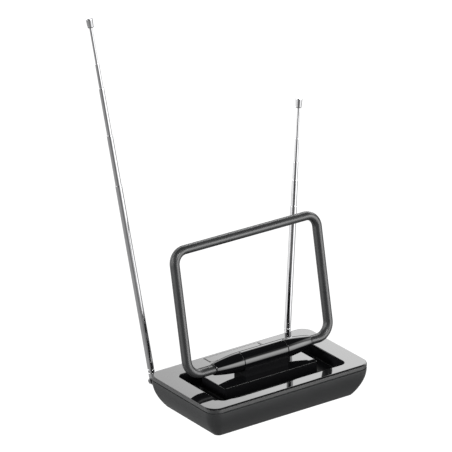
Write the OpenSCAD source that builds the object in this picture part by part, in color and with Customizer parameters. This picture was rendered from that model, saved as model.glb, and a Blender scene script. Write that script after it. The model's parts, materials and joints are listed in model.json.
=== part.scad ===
// Indoor television antenna: a boat-shaped base, a tilting UHF loop on a barrel hinge,
// and two telescopic VHF rods that swivel and tilt behind the base.
// X runs to the right along the barrel, Y runs to the back, Z runs up from the table.
// The origin is under the base's middle, below the barrel's axis, on the face that the feet stand on.

/* [Base] */
// Width of the base at its widest
base_w = 200.8; // [190:0.2:220]
// Depth of the base at its widest
base_d = 114; // [110:1:120]
// Height of the glossy top face above the table
top_z = 36; // [34.5:0.5:42]
// Plan radius of the base's corners
corner_r = 12.5; // [11:0.5:18]
// How far the bottom edge is set in at each end
end_inset = 14; // [10:0.5:15]
// How far the bottom edge is set in at the front and the back
front_inset = 11.3; // [8:0.1:14]
// Wall thickness of the mouldings
wall = 2; // [1.6:0.1:2.4]
// Height that the feet stand proud of the base
foot_h = 0.5; // [0.4:0.1:1.5]
// Height of the matt rim band between the glossy cover and the lower shell
rim_h = 5.5; // [5:0.5:7]

/* [Well and barrel] */
// Width of the sunken well in the cover
well_w = 158.6; // [150:0.2:164]
// Front edge of the well, measured forward from the barrel's axis
well_front = 42.6; // [40:0.1:45]
// Rear edge of the well, measured back from the barrel's axis
well_back = 35; // [33.5:0.1:39]
// Depth of the well below the top face
well_depth = 13; // [9:0.5:14]
// Width of the island in the well
island_w = 117; // [110:1:125]
// Depth of the island, front to back
island_d = 41; // [34:1:46]
// Height of the barrel's axis above the top face
barrel_rise = 14; // [12.5:0.5:20]
// Radius of the barrel
barrel_r = 10.25; // [8:0.25:10.5]
// Length of the barrel's fixed middle
barrel_len = 54; // [50:1:70]
// Distance between the outer ends of the two tapered caps
caps_span = 121; // [110:1:122]
// How far the barrel and the hatch behind it sit to the right of the base's middle
barrel_x = 2; // [0:0.5:3]
// Radius of the tapered caps at their outer ends
cap_end_r = 6.2; // [6.1:0.1:7]

/* [Loop] */
// Width of the loop between its tubes' centre lines
loop_w = 178.2; // [174:0.2:186]
// Height of the loop, from the barrel's axis to the top tube's centre line
loop_h = 129.5; // [110:0.5:150]
// Thickness of the loop's tube in the loop's own plane
tube_t = 9; // [8:0.5:9]
// Depth of the loop's tube, front to back
tube_d = 11; // [10:0.5:11]
// Centre-line radius of the two top corners
top_bend_r = 13.5; // [12:0.5:20]
// Centre-line radius of the two bottom bends
bottom_bend_r = 16; // [12:0.5:20]
// How far the loop leans back
loop_lean = 11.5; // [0:0.5:20]

/* [Rods] */
// Distance of each rod's swivel from the middle of the base
rod_x = 85.4; // [80:0.1:87]
// Height of the swivels above the table
rod_z = 20.1; // [18:0.1:21]
// Distance of the rods' tilt pins behind the barrel's axis
rod_y = 68.3; // [66:0.1:74]
// Outward lean of the left rod
left_lean = 10.1; // [0:0.1:60]
// Outward lean of the right rod
right_lean = 2.9; // [0:0.1:60]
// Length of the left rod's lowest tube, from the tilt pin
left_tube = 228.3; // [200:0.1:240]
// Length of the right rod's lowest tube, from the tilt pin
right_tube = 150.6; // [130:0.1:240]
// How far each left section stands out of the one below, from the second up
left_out = [57, 52.7, 27, 39.8]; // [15:0.1:120]
// How far each right section stands out of the one below, from the second up
right_out = [28.8, 19.7, 25.8, 33]; // [15:0.1:100]

/* [Hidden] */
$fn = 64;
hull_fn = 32;
eps = 0.01;
fit = 0.05;
shell_bottom = foot_h;
rim_bottom = top_z - rim_h;
cover_bottom = top_z - 3;
rim_top = top_z - 1.2;
barrel_z = top_z + barrel_rise;
well_floor = top_z - well_depth;
well_r = 7;
well_mid = (well_back - well_front) / 2;
well_span = well_back + well_front;
tub_bottom = well_floor - wall;
pedestal_d = 2 * barrel_r;

shaft_r = 3;
shaft_len = barrel_len + 30;
bush_r = 5;
bush_len = 8;
washer_t = 0.4;
washer_gap = 0.1;
cap_start = barrel_len / 2 + washer_t + 2 * washer_gap;
cap_end = caps_span / 2;
cap_socket = 5;
cap_curve = 1.7;
element_r = 1.6;
tube_wall = 1.6;

// Case screws, their posts and the pockets for their heads
screw_x = 72;
screw_y = 33;
post_top = 12;
post_r = 3.6;
case_hole_r = 1.7;
head_pocket_r = 3.1;
head_pocket_h = 5.5;
screw_r = 1.25;
screw_head_r = 2.8;
screw_head_h = 1.8;
small_screw_r = 1;
small_head_r = 2.3;
small_head_h = 1.3;
pedestal_screw_x = 17;
clearance_r = 1.6;

// Feet, and how deep they sit in the base
foot_r = 6;
foot_x = 74;
foot_y = 20;
foot_recess = 0.6;

// Lip of the rim band that drops into the lower shell, and its play
lip_h = 2.5;
lip_play = 0.1;
rim_wall = 3.5;

// Rounded edge of the cover plate: depth below the top face, inset at the ends, inset at the front
cover_edge = [[1.19, 0.1, 0.2], [0.9, 0.1, 0.4], [0.4, 0.25, 1], [0.12, 0.4, 1.7], [0, 0.6, 2.4]];

hatch_w = 70;
hatch_d = 11.2;
hatch_y = base_d / 2 - 10.1;
hatch_t = 1.6;
hatch_gap = 0.4;
rib_w = 1;
rib_h = 0.4;

board = [104, 44, 1.6];
board_z = 10;
board_x = 44;
board_y = 14;
board_post_r = 2.6;
board_hole_r = 1.3;
balun = [14, 8, 5];
balun_y = 12;
ballast = [64, 60, 5];
ballast_x = 27;

// Coaxial socket: thread radius, the nut behind which it stands free, and its open bore
coax_r = 4.76;
coax_root_r = 4.2;
coax_z = 17.5;
coax_pad_r = 8;
coax_pad_face = base_d / 2 + 0.5;
coax_nut_h = 2.4;
coax_free = coax_pad_face + coax_nut_h + 0.2;
coax_end = base_d / 2 + 9.5;
coax_bore_r = 2.4;
coax_flange_r = 6.6;
coax_flange_y = base_d / 2 - 9.5;

pin_y = rod_y;
hub_bore_r = 3.5;
boss_r = 7;
boss_face = base_d / 2 + 0.5;
ear_r = 3.2;
ear_gap = 4;
ear_t = 1.3;
pin_r = 1.2;
tongue_t = ear_gap - 0.4;
tongue_r = 3;
tube_foot = 3.7;
ring_z = [10, 14.1];
plug_top = 17;

// Outer and inner radius of each telescopic section, from the widest to the thinnest
section_r = [3.5, 3.1, 2.65, 2.1, 1.5];
section_bore = [3.3, 2.87, 2.4, 1.85, 0];
mouth_h = 1.3;
bush_h = 6;
proud = 2;
tip_r = 3.5;
tip_h = 10;

// ---------- shared shapes ----------

// Rounded rectangle
module outline(w, d, r) {
    square([w - 2 * r, d], center = true);
    square([w, d - 2 * r], center = true);
    for (sx = [-1, 1], sy = [-1, 1])
        translate([sx * (w / 2 - r), sy * (d / 2 - r)]) circle(r);
}

module slab(w, d, r, h) {
    linear_extrude(h) outline(w, d, r);
}

// Solid boat shape that stands on bottom and ends at the rim, thinned by skin all round.
// Its sides curve in towards the table along a parabola.
module boat(skin, bottom) {
    top = rim_bottom - eps;
    full = top - shell_bottom;
    hull() {
        for (share = [0, 0.15, 0.3, 0.45, 0.6, 0.75, 0.9, 1]) {
            z = max(top - share * full, bottom);
            curve = pow((top - z) / full, 2);
            translate([0, 0, z])
                slab(base_w - 2 * (end_inset * curve + skin), base_d - 2 * (front_inset * curve + skin),
                     corner_r - end_inset * curve / 2 - skin, eps, $fn = hull_fn);
        }
    }
}

// Cylinder along X, from x0 to x1
module bar_x(r, x0, x1) {
    translate([x0, 0, 0]) rotate([0, 90, 0]) cylinder(r = r, h = x1 - x0);
}

// Cylinder along Y, from y0 to y1
module bar_y(r, y0, y1) {
    translate([0, y0, 0]) rotate([-90, 0, 0]) cylinder(r = r, h = y1 - y0);
}

// Pan-head screw that points up, with its head's underside at z = 0
module screw(r, head_r, head_h, len) {
    cylinder(r = r, h = len);
    difference() {
        translate([0, 0, -head_h]) cylinder(r1 = head_r * 0.85, r2 = head_r, h = head_h);
        for (a = [0, 90])
            rotate([0, 0, a]) translate([-head_r * 0.6, -0.3, -head_h - eps]) cube([head_r * 1.2, 0.6, 1]);
    }
}

module at_case_screws() {
    for (sx = [-1, 1], sy = [-1, 1]) translate([sx * screw_x, sy * screw_y, 0]) children();
}

module at_pedestal_screws() {
    for (sx = [-1, 1]) translate([barrel_x + sx * pedestal_screw_x, 0, 0]) children();
}

module at_board_posts() {
    for (sx = [-1, 1], sy = [-1, 1]) translate([sx * board_x, sy * board_y, 0]) children();
}

// The barrel's middle, on its axis
module at_barrel() {
    translate([barrel_x, 0, barrel_z]) children();
}

module at_swivels() {
    for (sx = [-1, 1]) translate([sx * rod_x, 0, rod_z]) children();
}

// ---------- base ----------

module base_shell() {
    color("#3a3c3d") difference() {
        union() {
            difference() {
                boat(0, shell_bottom);
                boat(wall, shell_bottom + wall);
                translate([0, 0, rim_bottom - lip_h - lip_play])
                    slab(base_w - 2 * wall, base_d - 2 * wall, corner_r - wall, lip_h + 1);
            }
            at_case_screws() post(post_r, post_top);
            at_board_posts() post(board_post_r, board_z);
            at_swivels() bar_y(boss_r, base_d / 2 - 8, boss_face);
            translate([0, 0, coax_z]) bar_y(coax_pad_r, coax_flange_y + 2, coax_pad_face);
        }
        at_case_screws() cylinder(r = case_hole_r, h = post_top + 1);
        at_case_screws() cylinder(r = head_pocket_r, h = head_pocket_h);
        at_board_posts() translate([0, 0, board_z - 5]) cylinder(r = small_screw_r, h = 6);
        at_swivels() bar_y(hub_bore_r, base_d / 2 - 12, base_d / 2 + 10);
        translate([0, 0, coax_z]) bar_y(coax_r + 0.1, base_d / 2 - 12, base_d / 2 + 10);
        at_ballast_screws() translate([0, 0, shell_bottom + wall - 1.7]) cylinder(r = small_screw_r, h = 3);
        at_feet() cylinder(r = foot_r, h = foot_h + foot_recess);
    }
}

// Post that stands on the base's floor
module post(r, top) {
    translate([0, 0, shell_bottom + eps]) cylinder(r = r, h = top - shell_bottom - eps);
}

module at_feet() {
    children();
    for (sx = [-1, 1], sy = [-1, 1]) translate([sx * foot_x, sy * foot_y, 0]) children();
}

module at_ballast_screws() {
    for (sx = [-1, 1]) translate([sx * ballast_x, 0, 0]) children();
}

module rim_frame() {
    inner_r = corner_r - rim_wall;
    color("#454748") difference() {
        union() {
            translate([0, 0, rim_bottom]) slab(base_w, base_d, corner_r, rim_top - rim_bottom);
            translate([0, 0, rim_bottom - lip_h])
                slab(base_w - 2 * wall - 2 * lip_play, base_d - 2 * wall - 2 * lip_play,
                     corner_r - wall - lip_play, lip_h + lip_play);
        }
        translate([0, 0, rim_bottom - lip_h - 1])
            slab(base_w - 2 * rim_wall, base_d - 2 * rim_wall, inner_r, 2 * rim_h + lip_h);
    }
}

// Cover plate, which lies on the rim and drops into it, with the tub of the well below
module top_cover() {
    inset = rim_wall + lip_play;
    color("#0c0c0e") difference() {
        union() {
            translate([0, 0, cover_bottom])
                slab(base_w - 2 * inset, base_d - 2 * inset, corner_r - inset, rim_top - cover_bottom + eps);
            hull() {
                for (step = cover_edge)
                    translate([0, 0, top_z - step[0] - eps])
                        slab(base_w - 2 * step[1], base_d - 2 * step[2], corner_r, eps, $fn = hull_fn);
            }
            translate([0, well_mid, tub_bottom])
                slab(well_w + 2 * wall, well_span + 2 * wall, well_r + wall, top_z - 1.6 - tub_bottom);
            at_case_screws() translate([0, 0, post_top]) cylinder(r = post_r, h = tub_bottom - post_top + eps);
        }
        difference() {
            translate([0, well_mid, well_floor]) slab(well_w, well_span, well_r, well_depth + 1);
            translate([0, 0, well_floor - 1]) slab(island_w, island_d, 2, well_depth + 1);
        }
        translate([0, 0, tub_bottom - 1])
            slab(island_w - 2 * wall, island_d - 2 * wall, 1, top_z - wall - tub_bottom + 1);
        at_case_screws() translate([0, 0, post_top - 1]) cylinder(r = screw_r, h = 7);
        at_pedestal_screws() translate([0, 0, top_z - wall - 1]) cylinder(r = clearance_r, h = wall + 2);
        translate([barrel_x, hatch_y, top_z - hatch_t]) linear_extrude(3)
            square([hatch_w + 2 * hatch_gap, hatch_d + 2 * hatch_gap], center = true);
    }
}

module rear_hatch() {
    color("#101012") translate([barrel_x, hatch_y, top_z]) {
        translate([0, 0, -hatch_t]) linear_extrude(hatch_t) square([hatch_w, hatch_d], center = true);
        for (sx = [-1, 1])
            translate([sx * (hatch_w / 2 - rib_w * 1.2), 0, 0])
                cube([rib_w, hatch_d - 1, 2 * rib_h], center = true);
    }
}

module pivot_pedestal() {
    color("#0b0b0d") difference() {
        union() {
            at_barrel() bar_x(barrel_r, -barrel_len / 2, barrel_len / 2);
            translate([barrel_x - barrel_len / 2, -pedestal_d / 2, top_z]) cube([barrel_len, pedestal_d, barrel_rise]);
        }
        at_barrel() bar_x(shaft_r + 0.6, -barrel_len, barrel_len);
        at_barrel() bar_x(bush_r, -barrel_len, -barrel_len / 2 + bush_len);
        at_barrel() bar_x(bush_r, barrel_len / 2 - bush_len, barrel_len);
        at_pedestal_screws() translate([0, 0, top_z - 1]) cylinder(r = screw_r, h = 8);
    }
}

module pivot_bush(side) {
    color("#b08d3c") at_barrel() difference() {
        bar_x(bush_r, min(side * barrel_len / 2, side * (barrel_len / 2 - bush_len)),
              max(side * barrel_len / 2, side * (barrel_len / 2 - bush_len)));
        bar_x(shaft_r + fit, -barrel_len, barrel_len);
    }
}

module left_pivot_bush() {
    pivot_bush(-1);
}

module right_pivot_bush() {
    pivot_bush(1);
}

module rubber_feet() {
    color("#1d1d1d") at_feet() cylinder(r = foot_r, h = foot_h + foot_recess);
}

module case_screws() {
    color("#9a9a9a") at_case_screws()
        translate([0, 0, head_pocket_h]) screw(screw_r, screw_head_r, screw_head_h, 12);
}

module pedestal_screws() {
    color("#9a9a9a") at_pedestal_screws()
        translate([0, 0, top_z - wall]) screw(screw_r, screw_head_r, screw_head_h, 8);
}

module ballast_plate() {
    color("#6d6f70") difference() {
        translate([0, 0, shell_bottom + wall]) slab(ballast[0], ballast[1], 3, ballast[2]);
        at_ballast_screws() cylinder(r = clearance_r, h = 20);
    }
}

module ballast_screws() {
    color("#9a9a9a") at_ballast_screws() translate([0, 0, shell_bottom + wall + ballast[2]])
        mirror([0, 0, 1]) screw(small_screw_r, small_head_r, small_head_h, 6.5);
}

module circuit_board() {
    color("#1f5a3a") difference() {
        translate([0, 0, board_z]) linear_extrude(board[2]) square([board[0], board[1]], center = true);
        at_board_posts() cylinder(r = board_hole_r, h = 20);
    }
}

module board_screws() {
    color("#9a9a9a") at_board_posts() translate([0, 0, board_z + board[2]])
        mirror([0, 0, 1]) screw(small_screw_r, small_head_r, small_head_h, 5);
}

module balun_core() {
    color("#4a4038") translate([0, balun_y, board_z + board[2]]) difference() {
        translate([-balun[0] / 2, -balun[1] / 2, 0]) cube(balun);
        for (sx = [-1, 1]) translate([sx * 3.2, 0, balun[2] / 2]) bar_y(1.5, -balun[1], balun[1]);
    }
}

module capacitors() {
    color("#b5622a")
        for (i = [-2 : 2]) if (i != 0) translate([i * 9, -8, board_z + board[2]]) cylinder(r = 2.2, h = 3.4);
}

module coax_socket() {
    color("#c9c9cc") translate([0, 0, coax_z]) difference() {
        union() {
            bar_y(coax_root_r, coax_flange_y - 1.5, coax_free + eps);
            bar_y(coax_r, coax_free, coax_end);
            bar_y(coax_flange_r, coax_flange_y, coax_flange_y + 2);
        }
        bar_y(coax_bore_r, coax_pad_face + 1.5, coax_end + 1);
    }
}

module coax_nut() {
    color("#c9c9cc") translate([0, 0, coax_z]) difference() {
        translate([0, coax_pad_face, 0]) rotate([-90, 0, 0]) cylinder(r = 6.4, h = coax_nut_h, $fn = 6);
        bar_y(coax_root_r, coax_flange_y, coax_end);
    }
}

// ---------- loop ----------

// Cross-section with straight flanks: t across the loop's plane line, d front to back
module oval(t, d) {
    square([t, d - t], center = true);
    for (s = [-1, 1]) translate([0, s * (d - t) / 2]) circle(t / 2);
}

// One half of the tube's wall; side -1 is the front half
module tube_half(side) {
    intersection() {
        difference() {
            oval(tube_t, tube_d);
            oval(tube_t - 2 * tube_wall, tube_d - 2 * tube_wall);
        }
        translate([-10, side < 0 ? -20 : 0]) square([20, 20]);
    }
}

// Runs a section round the loop, from the left cap's socket to the right one.
// The second child is the first one turned over, for the bends.
module round_loop(start_x) {
    half_w = loop_w / 2;
    for (s = [-1, 1]) {
        socket_x = barrel_x + s * start_x;
        bend_x = s * (half_w - bottom_bend_r);
        translate([min(socket_x, bend_x), 0, 0]) rotate([0, 90, 0])
            linear_extrude(abs(bend_x - socket_x)) children(0);
        translate([s * half_w, 0, bottom_bend_r])
            linear_extrude(loop_h - bottom_bend_r - top_bend_r) children(0);
    }
    translate([-half_w + top_bend_r, 0, loop_h]) rotate([0, 90, 0])
        linear_extrude(loop_w - 2 * top_bend_r) children(0);
    bend(half_w - bottom_bend_r, bottom_bend_r, bottom_bend_r, -90) children(1);
    bend(-half_w + bottom_bend_r, bottom_bend_r, bottom_bend_r, 180) children(1);
    bend(half_w - top_bend_r, loop_h - top_bend_r, top_bend_r, 0) children(1);
    bend(-half_w + top_bend_r, loop_h - top_bend_r, top_bend_r, 90) children(1);
}

// Quarter turn about (x, z) in the loop's plane
module bend(x, z, r, from) {
    translate([x, 0, z]) rotate([90, 0, 0]) rotate([0, 0, from])
        rotate_extrude(angle = 90) translate([r, 0]) children();
}

module lean_loop() {
    translate([0, 0, barrel_z]) rotate([-loop_lean, 0, 0]) children();
}

// Barrel pieces that turn with the loop; side -1 mirrors them to the left
module lean_barrel(side) {
    at_barrel() rotate([-loop_lean, 0, 0]) mirror([side < 0 ? 1 : 0, 0, 0]) children();
}

module loop_half(side) {
    color("#3f4142") lean_loop() round_loop(cap_end - cap_socket) {
        tube_half(side);
        tube_half(-side);
    }
}

module loop_front_shell() {
    loop_half(-1);
}

module loop_rear_shell() {
    loop_half(1);
}

module loop_element() {
    color("#c0c2c4") lean_loop() round_loop(cap_end - cap_socket - 4) {
        circle(element_r);
        circle(element_r);
    }
}

module pivot_shaft() {
    color("#a8a8ac") lean_barrel(1) bar_x(shaft_r, -shaft_len / 2, shaft_len / 2);
}

// Tapered cap as a turned profile: a curve from the barrel's radius down to the cap's end
module end_cap(side) {
    len = cap_end - cap_start;
    steps = 12;
    profile = [for (i = [0 : steps]) let (u = i / steps)
        [barrel_r - (barrel_r - cap_end_r) * pow(u, cap_curve), u * len]];
    color("#0b0b0d") lean_barrel(side) difference() {
        translate([cap_start, 0, 0]) rotate([0, 90, 0])
            rotate_extrude() polygon(concat([[0, 0]], profile, [[0, len]]));
        bar_x(shaft_r, 0, shaft_len / 2);
        bar_x(element_r, 0, cap_end);
        translate([cap_end - cap_socket, 0, 0]) rotate([0, 90, 0])
            linear_extrude(cap_socket + 1) oval(tube_t, tube_d);
    }
}

module left_end_cap() {
    end_cap(-1);
}

module right_end_cap() {
    end_cap(1);
}

module friction_washer(side) {
    x0 = barrel_len / 2 + washer_gap;
    color("#161617") lean_barrel(side) difference() {
        bar_x(barrel_r - 0.8, x0, x0 + washer_t);
        bar_x(shaft_r, 0, barrel_len);
    }
}

module left_friction_washer() {
    friction_washer(-1);
}

module right_friction_washer() {
    friction_washer(1);
}

// ---------- rods ----------

function rod_side(side) = side < 0 ? -1 : 1;
function lowest(side) = side < 0 ? left_tube : right_tube;
function outs(side) = side < 0 ? left_out : right_out;

// Places a rod's own frame, with its swivel axis along Y and its rod along Z, at its lean
module at_rod(side) {
    lean = side < 0 ? -left_lean : right_lean;
    translate([rod_side(side) * rod_x, 0, rod_z]) rotate([0, lean, 0]) children();
}

module swivel_hub(side) {
    color("#b9babd") at_rod(side) difference() {
        union() {
            bar_y(hub_bore_r - fit, base_d / 2 - 12, boss_face + 1);
            bar_y(5.6, boss_face + 0.1, boss_face + 2);
            for (s = [-1, 1]) translate([s * (ear_gap + ear_t) / 2, 0, 0]) {
                translate([-ear_t / 2, boss_face + 1, -ear_r]) cube([ear_t, pin_y - boss_face - 1, 2 * ear_r]);
                translate([0, pin_y, 0]) bar_x(ear_r, -ear_t / 2, ear_t / 2);
            }
            translate([-ear_gap / 2 - ear_t, boss_face + 1, -ear_r]) cube([ear_gap + 2 * ear_t, 4, 2 * ear_r]);
        }
        translate([0, pin_y, 0]) bar_x(pin_r, -10, 10);
    }
}

module swivel_nut(side) {
    y1 = base_d / 2 - 9;
    color("#8f9092") at_rod(side) difference() {
        bar_y(5.2, y1 - 2, y1);
        bar_y(hub_bore_r - fit, y1 - 5, y1 + 5);
    }
}

module wave_washer(side) {
    y1 = base_d / 2 - 8.1;
    color("#8f9092") at_rod(side) difference() {
        bar_y(5, y1 - 0.8, y1);
        bar_y(hub_bore_r - fit, y1 - 5, y1 + 5);
    }
}

module hinge_pin(side) {
    half = ear_gap / 2 + ear_t;
    color("#d5d6d8") at_rod(side) translate([0, pin_y, 0]) {
        bar_x(pin_r, -half, half);
        bar_x(2.5, -half - 1.2, -half);
        bar_x(2.1, half, half + 0.9);
    }
}

module rod_foot(side) {
    color("#d5d6d8") at_rod(side) translate([0, pin_y, 0]) difference() {
        union() {
            bar_x(tongue_r, -tongue_t / 2, tongue_t / 2);
            translate([-tongue_t / 2, -2.4, 0]) cube([tongue_t, 4.8, tube_foot + 1]);
            translate([0, 0, tube_foot]) cylinder(r = section_bore[0] - 0.35, h = plug_top - tube_foot);
        }
        bar_x(pin_r + fit, -10, 10);
    }
}

// Height of a section's lower end above the tilt pin, and its length
function section_len(side, k) = lowest(side) - plug_top - 1 + proud * k;
function section_top(side, k) = k == 0 ? lowest(side) : section_top(side, k - 1) + outs(side)[k - 1];
function section_foot(side, k) = section_top(side, k) - section_len(side, k);

// Lowest tube, with the two rings rolled in above its foot
module first_tube(side) {
    r = section_r[0];
    foot = tube_foot;
    top = lowest(side);
    color("#dfe0e2") at_rod(side) translate([0, pin_y, 0]) difference() {
        union() {
            translate([0, 0, foot]) cylinder(r = r, h = top - foot - mouth_h);
            translate([0, 0, top - mouth_h]) cylinder(r1 = r, r2 = section_r[1] + 0.2, h = mouth_h);
        }
        translate([0, 0, plug_top]) cylinder(r = section_bore[0], h = top - plug_top - mouth_h - 1);
        cylinder(r = section_bore[0] - 0.35, h = plug_top + 1);
        translate([0, 0, plug_top]) cylinder(r = section_r[1] + fit, h = top);
        for (z = ring_z)
            translate([0, 0, z]) rotate_extrude() translate([r + 0.2, 0]) circle(0.4);
    }
}

// One of the sliding tubes, k = 1 to 3
module sliding_tube(side, k) {
    r = section_r[k];
    foot = section_foot(side, k);
    top = section_top(side, k);
    color("#dfe0e2") at_rod(side) translate([0, pin_y, 0]) difference() {
        union() {
            translate([0, 0, foot]) cylinder(r = r, h = top - foot - mouth_h);
            translate([0, 0, top - mouth_h]) cylinder(r1 = r, r2 = section_r[k + 1] + 0.2, h = mouth_h);
        }
        translate([0, 0, foot - 1]) cylinder(r = section_bore[k], h = top - foot - mouth_h);
        translate([0, 0, foot - 1]) cylinder(r = section_r[k + 1] + fit, h = top - foot + 2);
    }
}

// Split bush at a section's lower end, which slides in the tube round it
module sliding_bush(side, k) {
    foot = section_foot(side, k);
    color("#c7a04a") at_rod(side) translate([0, pin_y, foot]) difference() {
        cylinder(r = section_bore[k - 1] - fit, h = bush_h);
        translate([0, 0, -1]) cylinder(r = section_r[k], h = bush_h + 2);
    }
}

module inner_rod(side) {
    color("#dfe0e2") at_rod(side) translate([0, pin_y, section_foot(side, 4)])
        cylinder(r = section_r[4], h = section_len(side, 4));
}

module tip(side) {
    color("#dfe0e2") at_rod(side) translate([0, pin_y, section_top(side, 4)]) rotate_extrude()
        polygon([[0, 0], [tip_r - 0.5, 0], [tip_r, 0.5], [tip_r, tip_h - 1], [tip_r - 1, tip_h], [0, tip_h]]);
}

// ---------- nodes ----------

base_shell();
rim_frame();
top_cover();
rear_hatch();
pivot_pedestal();
rubber_feet();
case_screws();
pedestal_screws();
ballast_plate();
ballast_screws();
circuit_board();
board_screws();
balun_core();
capacitors();
coax_socket();
coax_nut();
left_pivot_bush();
right_pivot_bush();
loop_front_shell();
loop_rear_shell();
loop_element();
pivot_shaft();
left_end_cap();
right_end_cap();
left_friction_washer();
right_friction_washer();
swivel_hub(-1);  // left_swivel_hub
swivel_nut(-1);  // left_swivel_nut
wave_washer(-1);  // left_wave_washer
hinge_pin(-1);  // left_hinge_pin
rod_foot(-1);  // left_rod_foot
first_tube(-1);  // left_tube_1
sliding_tube(-1, 1);  // left_tube_2
sliding_tube(-1, 2);  // left_tube_3
sliding_tube(-1, 3);  // left_tube_4
inner_rod(-1);  // left_inner_rod
sliding_bush(-1, 1);  // left_bush_2
sliding_bush(-1, 2);  // left_bush_3
sliding_bush(-1, 3);  // left_bush_4
sliding_bush(-1, 4);  // left_bush_5
tip(-1);  // left_tip
swivel_hub(1);  // right_swivel_hub
swivel_nut(1);  // right_swivel_nut
wave_washer(1);  // right_wave_washer
hinge_pin(1);  // right_hinge_pin
rod_foot(1);  // right_rod_foot
first_tube(1);  // right_tube_1
sliding_tube(1, 1);  // right_tube_2
sliding_tube(1, 2);  // right_tube_3
sliding_tube(1, 3);  // right_tube_4
inner_rod(1);  // right_inner_rod
sliding_bush(1, 1);  // right_bush_2
sliding_bush(1, 2);  // right_bush_3
sliding_bush(1, 3);  // right_bush_4
sliding_bush(1, 4);  // right_bush_5
tip(1);  // right_tip
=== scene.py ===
"""Looks of an indoor television antenna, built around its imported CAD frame. Metres, the CAD's own frame."""
import json
import math

import bmesh
import bpy
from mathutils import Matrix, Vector

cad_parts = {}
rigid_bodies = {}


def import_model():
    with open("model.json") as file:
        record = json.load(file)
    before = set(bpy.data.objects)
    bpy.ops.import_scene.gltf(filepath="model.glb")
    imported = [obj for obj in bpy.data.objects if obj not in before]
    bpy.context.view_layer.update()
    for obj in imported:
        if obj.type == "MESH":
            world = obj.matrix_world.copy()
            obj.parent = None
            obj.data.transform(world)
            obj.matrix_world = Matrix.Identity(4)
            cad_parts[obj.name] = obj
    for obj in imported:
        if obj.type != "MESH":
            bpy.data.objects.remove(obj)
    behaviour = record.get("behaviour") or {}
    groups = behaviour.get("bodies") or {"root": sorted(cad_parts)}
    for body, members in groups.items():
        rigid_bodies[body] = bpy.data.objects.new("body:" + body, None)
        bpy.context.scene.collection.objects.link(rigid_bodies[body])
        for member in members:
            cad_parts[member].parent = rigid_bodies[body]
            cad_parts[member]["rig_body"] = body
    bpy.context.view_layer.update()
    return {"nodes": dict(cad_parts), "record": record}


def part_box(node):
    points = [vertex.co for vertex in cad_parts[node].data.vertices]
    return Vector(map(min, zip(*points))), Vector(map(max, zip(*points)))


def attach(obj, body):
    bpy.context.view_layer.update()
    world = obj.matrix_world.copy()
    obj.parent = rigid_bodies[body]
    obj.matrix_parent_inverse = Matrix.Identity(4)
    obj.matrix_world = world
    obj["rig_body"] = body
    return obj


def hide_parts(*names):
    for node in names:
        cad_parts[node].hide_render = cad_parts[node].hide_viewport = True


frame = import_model()

MM = 0.001
JOINTS = {j["name"]: j for j in frame["record"]["behaviour"]["joints"]}
SLOTS = {s["node"]: s["material_slot"] for s in frame["record"]["subparts"]}
BARREL = Vector(JOINTS["loop_tilt"]["pos_m"])
SIDES = {"left": -1, "right": 1}

# ---------- driving dimensions that the frame's boxes don't give ----------

# Lower shell: how far its bottom edge lies inside its widest line, its corners and walls
END_INSET = 14 * MM
FRONT_INSET = 11.3 * MM
CORNER_R = 12.5 * MM
SHELL_WALL = 2 * MM
RIM_WALL = 3.5 * MM
# Cover: the sunken well and the island in it
WELL_W = 158.6 * MM
WELL_FRONT = -42.6 * MM
WELL_BACK = 35 * MM
WELL_DEPTH = 13 * MM
WELL_R = 7 * MM
ISLAND_W = 117 * MM
ISLAND_D = 41 * MM
ISLAND_R = 2 * MM
ISLAND_MIN_R = 0.5 * MM
# Hinge barrel and its end caps
BARREL_R = 10.25 * MM
CAP_END_R = 6.2 * MM
CAP_CURVE = 1.7
BUSH_R = 5 * MM
# Loop: its tube starts this far from the barrel's middle and leans back
TUBE_START = 55.5 * MM
LOOP_HALF_W = 89.1 * MM
LOOP_H = 129.5 * MM
LOOP_LEAN = math.radians(11.5)
TUBE_T = 9 * MM
TUBE_D = 11 * MM
TUBE_WALL = 1.6 * MM
TOP_BEND = 13.5 * MM
BOTTOM_BEND = 16 * MM
# Openings and bosses of the lower shell
FOOT_R = 6 * MM
FOOT_GAP = 0.05 * MM
SCREW_HEAD_R = 2.8 * MM
SCREW_POCKET_R = 3.1 * MM
SCREW_POCKET_TOP = 5.5 * MM
PIVOT_BOSS_R = 7 * MM
PIVOT_BORE_R = 3.5 * MM
COAX_BOSS_R = 8 * MM


# ---------- camera, floor and light ----------

VIEW_AZIMUTH = math.radians(35.823)
VIEW_ELEVATION = math.radians(22.595)
CAMERA_PLACE = (-2.27783, -3.09674, 1.79278)
LENS_MM = 329.66
SENSOR_MM = 36
CLIP_NEAR = 0.5
CLIP_FAR = 60

FLOOR_HALF = 12.0
# Strengths that the camera sees, a little over white
FLOOR_SEEN = 1.1
BACKDROP_SEEN = 1.2

# Strength of the wall from the left (-1) to the right (1) of the view
WALL_LEVELS = [(-1, 0.3), (-0.8, 0.5), (-0.5, 2.4), (-0.1, 3.2), (-0.014, 3.8), (-0.001, 4.5), (0.006, 5.3),
               (0.03, 5.6), (0.55, 5.6), (0.85, 1.5), (1, 1)]
# How much height moves those levels sideways, and how far they lie from the middle
WALL_SLANT = -0.6
WALL_SHIFT = 0.249
# Strength of what shows from below the horizon, from the viewer's side (-1) to the far side (1)
GROUND_LEVELS = [(-1, 0.18), (-0.88, 0.18), (-0.66, 0.50), (-0.40, 0.50), (-0.1, 0.45), (0.2, 0.55),
                 (1, 0.6)]
LEVEL_LIMIT = 8.0
SOFTBOX = 9.4
LEFT_FILL = 4
FLOOR_BOUNCE = 0.08
AMBIENT = 0.03
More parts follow.
